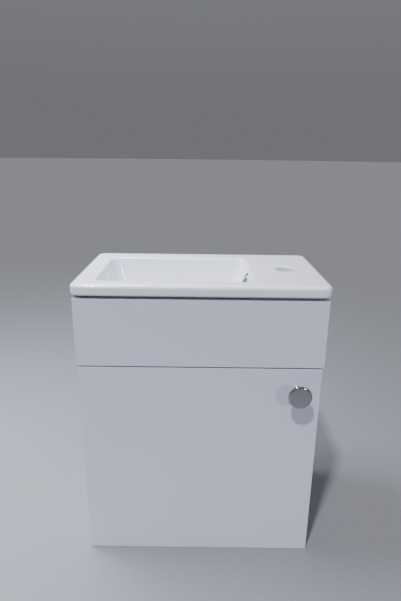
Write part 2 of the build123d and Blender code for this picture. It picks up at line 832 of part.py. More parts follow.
def parts():
    """Every node of the unit and its shape."""
    nodes = {
        "basin": basin(),
        "overflow_ring": overflow_ring(),
        "waste_body": waste_body(),
        "waste_plug": waste_plug(),
        "plug_seal": plug_seal(),
        "waste_seal": waste_seal(),
        "waste_gasket": waste_gasket(),
        "waste_backnut": waste_backnut(),
        "sealant_bead": sealant_bead(),
        "side_panel_left": left_side_panel(),
        "side_panel_right": side_panel(),
        "bottom_panel": bottom_panel(),
        "back_rail_top": back_rail_top(),
        "back_rail_bottom": back_rail_bottom(),
        "front_rail": front_rail(),
        "fascia_panel": fascia_panel(),
        "fascia_bracket_left": mirrored(fascia_bracket()),
        "fascia_bracket_right": fascia_bracket(),
        "fascia_bracket_screws": bracket_screws(),
        "cam_locks": cam_locks(),
        "cam_bolts": cam_bolts(),
        "wood_dowels": wood_dowels(),
        "door": door(),
        "knob": knob(),
        "knob_screw": knob_screw(),
        "door_buffers": door_buffers(),
        "hinge_cup_screws": hinge_cup_screws(),
        "hinge_plate_screws": hinge_plate_screws(),
        "hanger_body_left": mirrored(hanger_body()),
        "hanger_body_right": hanger_body(),
        "hanger_hook_left": mirrored(hanger_hook()),
        "hanger_hook_right": hanger_hook(),
        "hanger_screws": hanger_screws(),
        "hanger_adjusters": hanger_adjusters(),
        "wall_plate_left": mirrored(wall_plate()),
        "wall_plate_right": wall_plate(),
    }
    for name, z in hinge_heights.items():
        nodes[name + "_hinge_cup"] = hinge_cup(z)
        nodes[name + "_hinge_link"] = hinge_link(z)
        nodes[name + "_hinge_arm"] = hinge_arm(z)
        nodes[name + "_hinge_plate"] = hinge_plate(z)
    return nodes


os.makedirs("parts", exist_ok=True)
for node, shape in parts().items():
    export_step(shape, "parts/" + node + ".step")
    print(node, round(shape.volume / 1000.0, 2), "cm3")
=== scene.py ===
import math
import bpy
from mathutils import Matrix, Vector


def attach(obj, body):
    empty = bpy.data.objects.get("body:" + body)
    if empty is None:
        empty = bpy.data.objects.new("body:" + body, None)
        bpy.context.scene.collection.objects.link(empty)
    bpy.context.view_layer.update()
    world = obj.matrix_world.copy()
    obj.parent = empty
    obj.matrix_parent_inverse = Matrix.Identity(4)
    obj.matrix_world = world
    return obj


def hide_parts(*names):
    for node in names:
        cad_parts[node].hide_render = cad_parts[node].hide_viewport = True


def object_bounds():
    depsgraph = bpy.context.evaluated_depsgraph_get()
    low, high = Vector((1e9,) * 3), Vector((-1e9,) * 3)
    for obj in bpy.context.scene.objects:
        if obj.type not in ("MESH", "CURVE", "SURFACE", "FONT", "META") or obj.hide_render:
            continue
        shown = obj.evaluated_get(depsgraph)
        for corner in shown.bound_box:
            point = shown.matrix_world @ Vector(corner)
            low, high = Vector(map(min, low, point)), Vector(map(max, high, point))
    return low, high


bl_info = {
    "name": "Compact Vanity Unit",
    "version": (1, 0, 0),
    "blender": (4, 5, 0),
    "location": "View3D > Sidebar > Vanity Unit",
    "description": "Dresses the packed vanity unit with glazed china, faced boards and plated fittings",
    "category": "Object",
}

import bmesh
import bpy
from bpy.props import FloatProperty, FloatVectorProperty, PointerProperty
from mathutils import Matrix, Vector

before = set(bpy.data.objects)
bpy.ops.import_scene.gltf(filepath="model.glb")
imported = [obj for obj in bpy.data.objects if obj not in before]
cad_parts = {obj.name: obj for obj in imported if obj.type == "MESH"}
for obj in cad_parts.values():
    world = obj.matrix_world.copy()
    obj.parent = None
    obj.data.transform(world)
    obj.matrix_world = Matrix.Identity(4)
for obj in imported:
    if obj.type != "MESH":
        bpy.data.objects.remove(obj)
cad_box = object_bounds()

MM = 0.001

# Where the front faces of the fascia and door, and of the carcass, lie along y, in metres
FRONT_FACE = -0.231
CARCASS_FACE = -0.213
# Below this height the china was left bare where it stood in the kiln, fading in over the gap between them
BARE_FROM, BARE_FULL = 0.1235, 0.1215


def linear(hex_colour):
    """An sRGB hex value as linear red, green, blue and alpha."""
    parts = [int(hex_colour[i:i + 2], 16) / 255 for i in (0, 2, 4)]
    straight = [c / 12.92 if c <= 0.04045 else ((c + 0.055) / 1.055) ** 2.4 for c in parts]
    return (*straight, 1.0)


def colour_property(name, words, hex_colour):
    return FloatVectorProperty(
        name=name, description=words, default=linear(hex_colour), size=4, subtype="COLOR", min=0.0, max=1.0
    )


def length_property(name, words, metres):
    return FloatProperty(name=name, description=words, default=metres, unit="LENGTH", precision=4, min=0.0)


class VanityFinish(bpy.types.PropertyGroup):
    """The colours of the finishes."""

    glaze: colour_property("Glaze", "White glaze of the basin", "f2f3fc")
    biscuit: colour_property("Unglazed china", "Bare fired china under the rim", "e6e1d6")
    front: colour_property("Front board", "White faced board of the fascia and door", "dadbec")
    melamine: colour_property("Melamine", "White melamine of the carcass boards", "e6e6ec")
    chip_light: colour_property("Light chips", "Lighter wood chips on a raw board edge", "c9a877")
    chip_dark: colour_property("Dark chips", "Darker wood chips on a raw board edge", "7c5a34")
    chrome: colour_property("Chrome", "Polished chrome plating", "b3b5b8")
    nickel: colour_property("Nickel", "Nickel plating of the hinges", "b9b3a6")
    zinc: colour_property("Zinc", "Bright zinc plating of screws and brackets", "b4bac0")
    zinc_alloy: colour_property("Zinc alloy", "Die-cast zinc alloy of the cam locks", "9b9c9e")
    brass: colour_property("Waste brass", "Chromed brass of the waste", "c4c5c7")
    nylon: colour_property("Nylon", "White nylon mouldings", "e9e8e2")
    rubber: colour_property("Rubber", "Black rubber washers", "1b1b1c")
    buffer: colour_property("Buffer", "Clear soft polyurethane", "dfe5e6")
    sealant: colour_property("Sealant", "White sanitary sealant", "eeeeec")
    beech: colour_property("Beech", "Fluted beech dowels", "cfa878")
    floor: colour_property("Floor", "Studio floor", "8d8e92")
    surround: colour_property("Surround", "Soft light from all round the studio", "c6c7cc")
    ceiling: colour_property("Ceiling", "Soft light from above", "f4f6ff")


class VanitySizes(bpy.types.PropertyGroup):
    """The sizes of the curves and small details."""

    rim_curve: length_property("Rim curve", "Radius of the rim's rounded top edge", 0.007)
    lip: length_property("Bowl lip", "Radius of the edge where the bowl meets the ledge", 0.005)
    floor_curve: length_property("Floor curve", "Radius between the bowl's walls and its floor", 0.024)


class VanityStage(bpy.types.PropertyGroup):
    """The camera and the lights."""

    lens: FloatProperty(name="Lens", description="Focal length", default=28.27, unit="CAMERA", min=1.0)
    pitch: FloatProperty(
        name="Camera pitch", description="How far the camera looks down",
        default=math.radians(17.619), unit="ROTATION"
    )
    roll: FloatProperty(
        name="Camera roll", description="How far the camera leans",
        default=math.radians(0.66), unit="ROTATION"
    )
    camera_x: FloatProperty(name="Camera X", description="Camera across", default=-0.0008, unit="LENGTH")
    camera_y: FloatProperty(name="Camera Y", description="Camera in front", default=-0.9232, unit="LENGTH")
    camera_z: FloatProperty(name="Camera Z", description="Camera height", default=0.3375, unit="LENGTH")
    key: FloatProperty(
        name="Key light", description="Strength of the main light",
        default=2.6, min=0.0
    )
    fill: FloatProperty(
        name="Fill light", description="Strength of the second light",
        default=0.7, min=0.0
    )
    overhead: FloatProperty(
        name="Softbox", description="Power of the softbox overhead",
        default=17.0, unit="POWER", min=0.0
    )
    surround: FloatProperty(
        name="Surround", description="Strength of the light from all round",
        default=0.3, min=0.0
    )


def add(tree, kind, inputs=None, **settings):
    """Adds a node with its settings; each input is a value, or an output to link."""
    node = tree.nodes.new(kind)
    for name, value in settings.items():
        setattr(node, name, value)
    for name, value in (inputs or {}).items():
        if isinstance(value, bpy.types.NodeSocket):
            tree.links.new(value, node.inputs[name])
        else:
            node.inputs[name].default_value = value
    return node


def new_material(name):
    """An empty material with its shader, its node tree and its Object coordinates."""
    material = bpy.data.materials.new(name)
    material.use_nodes = True
    tree = material.node_tree
    tree.nodes.clear()
    shader = add(tree, "ShaderNodeBsdfPrincipled")
    add(tree, "ShaderNodeOutputMaterial", {"Surface": shader.outputs["BSDF"]})
    place = add(tree, "ShaderNodeTexCoord").outputs["Object"]
    return material, tree, shader, place


def connect(tree, output, node, name):
    tree.links.new(output, node.inputs[name])


def noise(tree, place, size_mm, detail=2.0, roughness=0.5):
    """Noise whose spots are about size_mm across."""
    inputs = {"Vector": place, "Scale": 1.0 / (size_mm * MM), "Detail": detail, "Roughness": roughness}
    return add(tree, "ShaderNodeTexNoise", inputs).outputs["Fac"]


def mapped(tree, value, from_low, from_high, to_low, to_high):
    inputs = {"Value": value, 1: from_low, 2: from_high, 3: to_low, 4: to_high}
    return add(tree, "ShaderNodeMapRange", inputs).outputs["Result"]


def mixed(tree, factor, first, second):
    """A colour between two others."""
    node = add(tree, "ShaderNodeMix", data_type="RGBA")
    for index, value in ((0, factor), (6, first), (7, second)):
        if isinstance(value, bpy.types.NodeSocket):
            tree.links.new(value, node.inputs[index])
        else:
            node.inputs[index].default_value = value
    return node.outputs[2]


def sums(tree, operation, first, second=0.0, third=0.0):
    return add(tree, "ShaderNodeMath", {0: first, 1: second, 2: third}, operation=operation).outputs[0]


def bump(tree, shader, height, depth_mm, strength=1.0):
    inputs = {"Height": height, "Distance": depth_mm * MM, "Strength": strength}
    connect(tree, add(tree, "ShaderNodeBump", inputs).outputs["Normal"], shader, "Normal")


def axes(tree, vector):
    return add(tree, "ShaderNodeSeparateXYZ", {0: vector}).outputs


def facing(tree):
    """The x, y and z of the surface's own direction."""
    return axes(tree, add(tree, "ShaderNodeNewGeometry").outputs["Normal"])


def shade(colour, factor):
    return (colour[0] * factor, colour[1] * factor, colour[2] * factor, 1.0)


# Vitreous china under a clear white glaze: a hard mirror gloss that pools softly over the body, so the
# surface has a faint ripple, and a bare, chalky biscuit where it stood in the kiln.
def glazed_china(finish):
    material, tree, shader, place = new_material("vitreous china, white glaze")
    ripple = noise(tree, place, 22.0, 1.0)
    fine = noise(tree, place, 0.9, 1.0)
    body = noise(tree, place, 60.0, 3.0)
    glaze = mixed(tree, mapped(tree, body, 0.35, 0.65, 0.0, 1.0), finish.glaze, shade(finish.glaze, 0.97))
    grit = mixed(tree, mapped(tree, fine, 0.3, 0.7, 0.0, 1.0), finish.biscuit, shade(finish.biscuit, 0.86))
    down = mapped(tree, facing(tree)[2], -0.90, -0.97, 0.0, 1.0)
    low = mapped(tree, axes(tree, place)[2], BARE_FROM, BARE_FULL, 0.0, 1.0)
    bare = sums(tree, "MULTIPLY", down, low)
    connect(tree, mixed(tree, bare, glaze, grit), shader, "Base Color")
    gloss = mapped(tree, ripple, 0.3, 0.7, 0.05, 0.09)
    connect(tree, sums(tree, "ADD", gloss, sums(tree, "MULTIPLY", bare, 0.6)), shader, "Roughness")
    shader.inputs["IOR"].default_value = 1.52
    bump(tree, shader, sums(tree, "ADD", ripple, sums(tree, "MULTIPLY", fine, bare)), 0.06, 0.6)
    return material


# Medium-density board wrapped in a satin-gloss white foil: even colour and an orange peel, drawn at 1.6 mm,
# coarser than the real half millimetre, so that it shows. Its level top and bottom edges, behind a 0.7 mm
# strip at the front, are painted darker at 62 % of the front's colour: painted shade for the seams. A hair
# line at 72 % of the front's colour runs along every edge face 1.4 mm behind the front face.
def wrapped_board(finish):
    material, tree, shader, place = new_material("white satin wrapped board")
    cloud = noise(tree, place, 90.0, 2.0)
    peel = noise(tree, place, 1.6, 2.0)
    white = mixed(tree, mapped(tree, cloud, 0.3, 0.7, 0.0, 1.0), finish.front, shade(finish.front, 0.975))
    on_edge = sums(tree, "LESS_THAN", sums(tree, "ABSOLUTE", facing(tree)[1]), 0.3)
    joint = sums(tree, "COMPARE", axes(tree, place)[1], FRONT_FACE + 1.4 * MM, 0.12 * MM)
    line = sums(tree, "MULTIPLY", on_edge, joint)
    level = sums(tree, "GREATER_THAN", sums(tree, "ABSOLUTE", facing(tree)[2]), 0.7)
    behind = sums(tree, "GREATER_THAN", axes(tree, place)[1], FRONT_FACE + 0.7 * MM)
    # Painted shade: the level edges behind the front strip, drawn at 62 % of the front's colour
    painted_seam_shade = sums(tree, "MULTIPLY", level, behind)
    white = mixed(tree, painted_seam_shade, white, shade(finish.front, 0.62))
    connect(tree, mixed(tree, line, white, shade(finish.front, 0.72)), shader, "Base Color")
    connect(tree, mapped(tree, peel, 0.3, 0.7, 0.30, 0.37), shader, "Roughness")
    shader.inputs["IOR"].default_value = 1.47
    bump(tree, shader, peel, 0.02, 0.5)
    return material


# Chipboard faced with white melamine: a low pearl texture on the faces, and pressed wood chips of 2.6 mm
# where an edge is left raw. The broad faces of each board point along one axis, and its front edge is banded.
def faced_chipboard(finish, name, face_axis):
    material, tree, shader, place = new_material(name)
    pearl = noise(tree, place, 0.8, 2.0)
    white = mixed(tree, mapped(tree, noise(tree, place, 70.0), 0.3, 0.7, 0.0, 1.0), finish.melamine,
                  shade(finish.melamine, 0.96))
    chips = add(tree, "ShaderNodeTexVoronoi", {"Vector": place, "Scale": 1.0 / (2.6 * MM), "Randomness": 1.0})
    pick = axes(tree, chips.outputs["Color"])[0]
    wood = mixed(tree, pick, finish.chip_light, finish.chip_dark)
    dust = noise(tree, place, 0.7, 3.0)
    wood = mixed(tree, mapped(tree, dust, 0.55, 0.75, 0.0, 0.7), wood, shade(finish.chip_dark, 0.5))
    along_face = sums(tree, "ABSOLUTE", facing(tree)[face_axis])
    banded = sums(tree, "LESS_THAN", axes(tree, place)[1], CARCASS_FACE + MM)
    edge = sums(tree, "LESS_THAN", along_face, 0.4)
    raw = sums(tree, "MULTIPLY", edge, sums(tree, "SUBTRACT", 1.0, banded))
    connect(tree, mixed(tree, raw, white, wood), shader, "Base Color")
    satin = mapped(tree, pearl, 0.3, 0.7, 0.36, 0.46)
    connect(tree, sums(tree, "ADD", satin, sums(tree, "MULTIPLY", raw, 0.4)), shader, "Roughness")
    relief = sums(tree, "ADD", sums(tree, "MULTIPLY", pearl, 0.12), sums(tree, "MULTIPLY", raw, pick))
    bump(tree, shader, relief, 0.25, 0.7)
    return material


# A plated or cast metal: how it was made sets how far it blurs what it mirrors, between a low and a high
# roughness, the size of its grain, and how much its colour is clouded.
def metal(name, colour, low, high, grain_mm, relief_mm=0.004, spread=0.06):
    material, tree, shader, place = new_material(name)
    grain = noise(tree, place, grain_mm, 3.0, 0.6)
    cloud = noise(tree, place, 14.0, 2.0)
    connect(tree, mixed(tree, mapped(tree, cloud, 0.3, 0.7, 0.0, 1.0), colour, shade(colour, 1.0 - spread)),
            shader, "Base Color")
    shader.inputs["Metallic"].default_value = 1.0
    connect(tree, mapped(tree, grain, 0.3, 0.7, low, high), shader, "Roughness")
    bump(tree, shader, grain, relief_mm, 0.6)
    return material


# A moulded or set plastic: soft gloss with a little mottling in its colour.
def moulded(name, colour, rough, grain_mm, relief_mm):
    material, tree, shader, place = new_material(name)
    grain = noise(tree, place, grain_mm, 3.0)
    mottle = mapped(tree, noise(tree, place, 8.0), 0.3, 0.7, 0.0, 1.0)
    connect(tree, mixed(tree, mottle, colour, shade(colour, 0.93)), shader, "Base Color")
    connect(tree, mapped(tree, grain, 0.3, 0.7, rough - 0.06, rough + 0.06), shader, "Roughness")
    shader.inputs["IOR"].default_value = 1.5
    bump(tree, shader, grain, relief_mm, 0.6)
    return material


# Clear soft polyurethane: water-clear with a slightly tacky skin.
def clear_polyurethane(finish):
    material, tree, shader, place = new_material("clear polyurethane buffer")
    skin = noise(tree, place, 0.6, 2.0)
    connect(tree, mixed(tree, skin, finish.buffer, shade(finish.buffer, 0.9)), shader, "Base Color")
    connect(tree, mapped(tree, skin, 0.3, 0.7, 0.12, 0.25), shader, "Roughness")
    shader.inputs["IOR"].default_value = 1.49
    shader.inputs["Transmission Weight"].default_value = 0.75
    return material


# Beech: pale wood with short dark flecks along its grain.
def beech_wood(finish):
    material, tree, shader, place = new_material("fluted beech")
    lay = add(tree, "ShaderNodeMapping", {"Vector": place, "Scale": (0.12, 1.0, 1.0)}).outputs["Vector"]
    fleck = noise(tree, lay, 0.5, 3.0, 0.6)
    dark = mapped(tree, fleck, 0.45, 0.7, 0.0, 1.0)
    connect(tree, mixed(tree, dark, finish.beech, shade(finish.beech, 0.55)), shader, "Base Color")
    connect(tree, mapped(tree, fleck, 0.3, 0.7, 0.5, 0.65), shader, "Roughness")
    bump(tree, shader, fleck, 0.03, 0.6)
    return material


def rounded_ring(x0, x1, y0, y1, radius, z, arc=12, across=20, deep=10):
    """The points of a level rounded rectangle, the same number each time, in millimetres."""
    corners = ((x1 - radius, y1 - radius, 0), (x0 + radius, y1 - radius, 1), (x0 + radius, y0 + radius, 2),
               (x1 - radius, y0 + radius, 3))
    points = []
    for index, (cx, cy, quarter) in enumerate(corners):
        for step in range(arc + 1):
            turn = math.pi / 2 * (quarter + step / arc)
            points.append(Vector((cx + radius * math.cos(turn), cy + radius * math.sin(turn), z)))
        nx, ny, after = corners[(index + 1) % 4]
        start = points[-1]
        turn = math.pi / 2 * after
        end = Vector((nx + radius * math.cos(turn), ny + radius * math.sin(turn), z))
        parts = across if index % 2 == 0 else deep
        points += [start.lerp(end, step / parts) for step in range(1, parts)]
    return points


def round_ring(cx, cy, radius, z, like):
    """A circle with one point in the direction of each point of another ring."""
    turns = [math.atan2(point.y - cy, point.x - cx) for point in like]
    return [Vector((cx + radius * math.cos(turn), cy + radius * math.sin(turn), z)) for turn in turns]


def even_ring(cx, cy, radius, z, count=96):
    turns = [2 * math.pi * i / count for i in range(count)]
    return [Vector((cx + radius * math.cos(turn), cy + radius * math.sin(turn), z)) for turn in turns]


def loft(bm, rings):
    """Joins rings of equally many points with quads, and returns the first and last rings' vertices."""
    rows = [[bm.verts.new(point * MM) for point in ring] for ring in rings]
    for low, high in zip(rows, rows[1:]):
        for i in range(len(low)):
            j = (i + 1) % len(low)
            bm.faces.new((low[i], low[j], high[j], high[i]))
    return rows[0], rows[-1]


def ring_edges(bm, row):
    return [bm.edges.get((row[i], row[(i + 1) % len(row)])) for i in range(len(row))]


def span(bm, *rows):
    """Fills the level area between an outer ring and the rings inside it."""
    edges = [edge for row in rows for edge in ring_edges(bm, row)]
    bmesh.ops.triangle_fill(bm, use_beauty=True, edges=edges, normal=(0.0, 0.0, 1.0))


def arc_steps(start, end, count):
    return [start + (end - start) * i / count for i in range(count + 1)]


def mesh_from(bm, name, sharp=40.0):
    """A mesh with outward normals and smooth shading up to the sharp angle, in degrees."""
    bmesh.ops.remove_doubles(bm, verts=bm.verts, dist=0.002 * MM)
    bmesh.ops.recalc_face_normals(bm, faces=bm.faces)
    mesh = bpy.data.meshes.new(name)
    bm.to_mesh(mesh)
    bm.free()
    mesh.shade_smooth()
    mesh.set_sharp_from_angle(angle=math.radians(sharp))
    return mesh


def new_object(name, data):
    piece = bpy.data.objects.new(name, data)
    bpy.context.scene.collection.objects.link(piece)
    return piece


def keep_result(piece):
    """Turns what a piece's modifier makes into its plain mesh, and removes the modifier."""
    graph = bpy.context.evaluated_depsgraph_get()
    graph.update()
    made = bpy.data.meshes.new_from_object(piece.evaluated_get(graph))
    piece.modifiers.clear()
    piece.data = made


def smooth_to(piece, sharp):
    """Shades a piece smooth up to the sharp angle, in degrees."""
    piece.data.shade_smooth()
    piece.data.set_sharp_from_angle(angle=math.radians(sharp))


def carve(piece, cutter, operation):
    """Cuts a solid out of a piece, joins it on or keeps what they share, and removes the cutter."""
    modifier = piece.modifiers.new("carve", "BOOLEAN")
    modifier.object = cutter
    modifier.operation = operation
    modifier.solver = "EXACT"
    keep_result(piece)
    bpy.data.objects.remove(cutter)


def lathe(name, profile, centre, axis, count=96, sharp=35.0, hollow=False):
    """A turned piece: (radius, height) pairs in millimetres, swept about an axis through centre."""
    bm = bmesh.new()
    turned = Vector(axis).to_track_quat("Z", "Y").to_matrix()
    rows = []
    for radius, height in profile:
        if radius < 0.001:
            rows.append([bm.verts.new((Vector(centre) + turned @ Vector((0, 0, height))) * MM)])
        else:
            ring = even_ring(0.0, 0.0, radius, height, count)
            rows.append([bm.verts.new((Vector(centre) + turned @ point) * MM) for point in ring])
    for low, high in zip(rows, rows[1:] + (rows[:1] if hollow else [])):
        for i in range(count):
            j = (i + 1) % count
            corners = []
            for vertex in (low[i % len(low)], low[j % len(low)], high[j % len(high)], high[i % len(high)]):
                if vertex not in corners:
                    corners.append(vertex)
            if len(corners) > 2:
                bm.faces.new(corners)
    return new_object(name, mesh_from(bm, name, sharp))


def node_tree(name, *sizes):
    """A Geometry Nodes tree with a named input for each size, and its input sockets."""
    tree = bpy.data.node_groups.new(name, "GeometryNodeTree")
    tree.interface.new_socket("Geometry", in_out="INPUT", socket_type="NodeSocketGeometry")
    for label, kind in (*sizes, ("Material", "Material")):
        tree.interface.new_socket(label, in_out="INPUT", socket_type="NodeSocket" + kind)
    tree.interface.new_socket("Geometry", in_out="OUTPUT", socket_type="NodeSocketGeometry")
    return tree, add(tree, "NodeGroupInput").outputs


def end_tree(tree, geometry, material):
    real = add(tree, "GeometryNodeRealizeInstances", {"Geometry": geometry}).outputs[0]
    painted = add(tree, "GeometryNodeSetMaterial", {"Geometry": real, "Material": material}).outputs[0]
    add(tree, "NodeGroupOutput", {"Geometry": painted})


def run_tree(piece, tree, values):
    """Runs a tree on a piece and keeps what it makes as the piece's plain mesh."""
    modifier = piece.modifiers.new(tree.name, "NODES")
    modifier.node_group = tree
    for socket in tree.interface.items_tree:
        if socket.in_out == "INPUT" and socket.name in values:
            modifier[socket.identifier] = values[socket.name]
    keep_result(piece)


# Half widths of a thread's flat root, and of its root and flanks together, as shares of the pitch
ROOT_SHARE, CREST_SHARE = 0.06, 0.44


def screw_thread_tree():
    """Presses a round-crested helical thread into the dense rings of a turned tube that stands upright."""
    tree, given = node_tree("screw_thread", ("Centre", "Vector"), ("Radius", "Float"), ("Pitch", "Float"),
                            ("Depth", "Float"), ("Low", "Float"), ("High", "Float"))
    place = add(tree, "GeometryNodeInputPosition").outputs[0]
    out = add(tree, "ShaderNodeVectorMath", {0: place, 1: given["Centre"]}, operation="SUBTRACT").outputs[0]
    x, y, z = axes(tree, out)
    flat = add(tree, "ShaderNodeCombineXYZ", {"X": x, "Y": y}).outputs[0]
    reach = add(tree, "ShaderNodeVectorMath", {0: flat}, operation="LENGTH").outputs["Value"]
    away = add(tree, "ShaderNodeVectorMath", {0: flat}, operation="NORMALIZE").outputs[0]
    turn = sums(tree, "DIVIDE", sums(tree, "ARCTAN2", y, x), 2 * math.pi)
    phase = sums(tree, "FRACT", sums(tree, "SUBTRACT", sums(tree, "DIVIDE", z, given["Pitch"]), turn))
    flank = sums(tree, "ABSOLUTE", sums(tree, "SUBTRACT", phase, 0.5))
    groove = add(tree, "ShaderNodeMapRange", {"Value": flank, 1: ROOT_SHARE, 2: CREST_SHARE, 3: 1.0, 4: 0.0},
                 interpolation_type="SMOOTHSTEP").outputs["Result"]
    below = sums(tree, "DIVIDE", sums(tree, "SUBTRACT", z, given["Low"]), given["Pitch"])
    above = sums(tree, "DIVIDE", sums(tree, "SUBTRACT", given["High"], z), given["Pitch"])
    ends = add(tree, "ShaderNodeClamp", {"Value": sums(tree, "MINIMUM", below, above)}).outputs[0]
    inwards = sums(tree, "MULTIPLY", given["Depth"], -1.0)
    sink = sums(tree, "MULTIPLY", sums(tree, "MULTIPLY", groove, ends), inwards)
    shift = add(tree, "ShaderNodeVectorMath", {0: away, "Scale": sink}, operation="SCALE").outputs[0]
    skin = sums(tree, "GREATER_THAN", reach, sums(tree, "SUBTRACT", given["Radius"], 0.1 * MM))
    inputs = {"Geometry": given["Geometry"], "Selection": skin, "Offset": shift}
    end_tree(tree, add(tree, "GeometryNodeSetPosition", inputs).outputs[0], given["Material"])
    return tree


def fixings_tree():
    """Sets a screw at each point of a piece, the way that the point's direction says, its shank drawn out."""
    tree, given = node_tree("fixings", ("Screw", "Object"), ("Shank length", "Float"))
    way = add(tree, "GeometryNodeInputNamedAttribute", {"Name": "way"}, data_type="FLOAT_VECTOR").outputs[0]
    turn = add(tree, "FunctionNodeAlignRotationToVector", {"Vector": way}, axis="Z").outputs[0]
    screw = add(tree, "GeometryNodeObjectInfo", {"Object": given["Screw"]}).outputs["Geometry"]
    z = axes(tree, add(tree, "GeometryNodeInputPosition").outputs[0])[2]
    tail = sums(tree, "MULTIPLY", sums(tree, "GREATER_THAN", z, 0.5 * MM), given["Shank length"])
    draw = add(tree, "ShaderNodeCombineXYZ", {"Z": tail}).outputs[0]
    long = add(tree, "GeometryNodeSetPosition", {"Geometry": screw, "Offset": draw}).outputs[0]
    inputs = {"Points": given["Geometry"], "Instance": long, "Rotation": turn}
    end_tree(tree, add(tree, "GeometryNodeInstanceOnPoints", inputs).outputs[0], given["Material"])
    return tree


def settle(piece, body, material, slot, *nodes):
    """Gives a finished piece its material and its body, and hides the CAD nodes that it stands for."""
    piece.data.materials.clear()
    piece.data.materials.append(material)
    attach(piece, body)
    if nodes:
        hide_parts(*nodes)


# The basin, in millimetres, where the CAD has it
RIM_TOP = 142.0
BASIN_HALF = 203.5
BASIN_DEPTH = 235.0
LEDGE_UNDER = 130.0
BOWL_LEFT, BOWL_RIGHT, BOWL_FRONT, BOWL_BACK = -168.0, 83.0, -207.5, -41.0
BOWL_DROP = 80.0
CHINA_WALL = 9.0
SIDE_DRAFT, RIGHT_DRAFT = 11.0, 15.0
WASTE_X, WASTE_Y = -45.44, -124.25
SEAT_Z = 59.0
BOSS_LOW = 38.0
TAP_X, TAP_Y = 147.5, -119.0
TAP_HOLE, TAP_EDGE = 17.5, 3.0
OVERFLOW_DROP = 21.0
DUCT_BACK, DUCT_HALF, DUCT_SOFT = 100.0, 17.0, 0.8
RIM_CORNER, BOWL_CORNER, CORNER_GAIN = 16.0, 16.0, 14.0
RIM_RELIEF, RIM_FOOT = 124.5, 121.0


def wall_inset(drop, draft, lip, fillet, depth):
    """How far a bowl wall stands inside its edge, at a drop below the rim, with its lip and floor curves."""
    lean = math.radians(draft)
    share = 1.0 - math.sin(lean)
    if drop < lip * share:
        return math.sqrt(lip ** 2 - (lip - drop) ** 2) - lip * share / math.cos(lean)
    rise = depth - drop
    if rise < fillet * share:
        corner = depth * math.tan(lean) + fillet * share / math.cos(lean)
        return corner - math.sqrt(max(fillet ** 2 - (fillet - rise) ** 2, 0.0))
    return drop * math.tan(lean)


def bowl_ring(drop, lip, fillet, depth=BOWL_DROP, wall=0.0):
    """A ring of the bowl at a drop below the rim: its inside, or its outside where a wall is given."""
    side = wall_inset(drop, SIDE_DRAFT, lip, fillet, depth)
    right = wall_inset(drop, RIGHT_DRAFT, lip, fillet, depth)
    corner = BOWL_CORNER + CORNER_GAIN * drop / BOWL_DROP + wall
    corner += drop * math.tan(math.radians(SIDE_DRAFT)) - side
    return rounded_ring(BOWL_LEFT + side - wall, BOWL_RIGHT - right + wall, BOWL_FRONT + side - wall,
                        BOWL_BACK - side + wall, corner, RIM_TOP - drop)


def rim_ring(inset, z):
    corner = max(RIM_CORNER - inset, 6.0)
    return rounded_ring(inset - BASIN_HALF, BASIN_HALF - inset, inset - BASIN_DEPTH, -inset, corner, z)


def arc_drops(radius, start, end, count):
    """Drops below the top of an arc, evenly spaced along it from one angle to another in degrees."""
    return [radius * (1 - math.cos(math.radians(a))) for a in arc_steps(start, end, count)]


def bowl_rings(sizes):
    """Every ring of the bowl: the lip, the walls, the floor, the waste hole, the boss and the outer skin."""
    lip, fillet = sizes.lip / MM, sizes.floor_curve / MM
    rings = [bowl_ring(0.0, lip, fillet)]
    rings.insert(0, rounded_ring(BOWL_LEFT - lip * 0.82 - 0.6, BOWL_RIGHT + lip * 0.77 + 0.6,
                                 BOWL_FRONT - lip * 0.82 - 0.6, BOWL_BACK + lip * 0.82 + 0.6, 20.7, RIM_TOP))
    rings += [bowl_ring(drop, lip, fillet) for drop in arc_drops(lip, 8, 72, 8)]
    rings += [bowl_ring(drop, lip, fillet) for drop in (5.0, 16.0, 28.0, 40.0, 52.0)]
    rings += [bowl_ring(BOWL_DROP - rise, lip, fillet) for rise in reversed(arc_drops(fillet, 0, 80, 14))]
    floor = rings[-1]
    dish = [(46.5, 0.0), (44.0, 0.25), (41.0, 0.95), (38.0, 1.75), (35.0, 2.5), (33.0, 2.85), (31.5, 3.0),
            (23.6, 3.0)]
    rim_of_dish = round_ring(WASTE_X, WASTE_Y, 46.9, RIM_TOP - BOWL_DROP, floor)
    rings += [[a.lerp(b, t) for a, b in zip(floor, rim_of_dish)] for t in (0.04, 0.35, 0.7, 0.97)]
    hole = [(23.1, SEAT_Z - 0.1), (22.7, SEAT_Z - 0.4), (22.5, SEAT_Z - 1.0), (22.5, BOSS_LOW + 0.8),
            (23.3, BOSS_LOW), (36.5, BOSS_LOW), (37.6, BOSS_LOW + 0.4), (38.0, BOSS_LOW + 1.5), (38.0, 50.0),
            (38.8, 52.0), (40.8, 53.0)]
    circles = [(radius, RIM_TOP - BOWL_DROP - sink) for radius, sink in dish] + hole
    rings += [round_ring(WASTE_X, WASTE_Y, radius, z, floor) for radius, z in circles]
    under = BOWL_DROP + CHINA_WALL
    skin = [bowl_ring(under - rise, 0.0, fillet, under, CHINA_WALL) for rise in arc_drops(fillet, 0, 80, 8)]
    rings += [[a.lerp(b, 0.97) for a, b in zip(rings[-1], skin[0])]]
    drops = (50.0, 30.0, RIM_TOP - LEDGE_UNDER)
    return rings + skin + [bowl_ring(drop, 0.0, fillet, under, CHINA_WALL) for drop in drops]


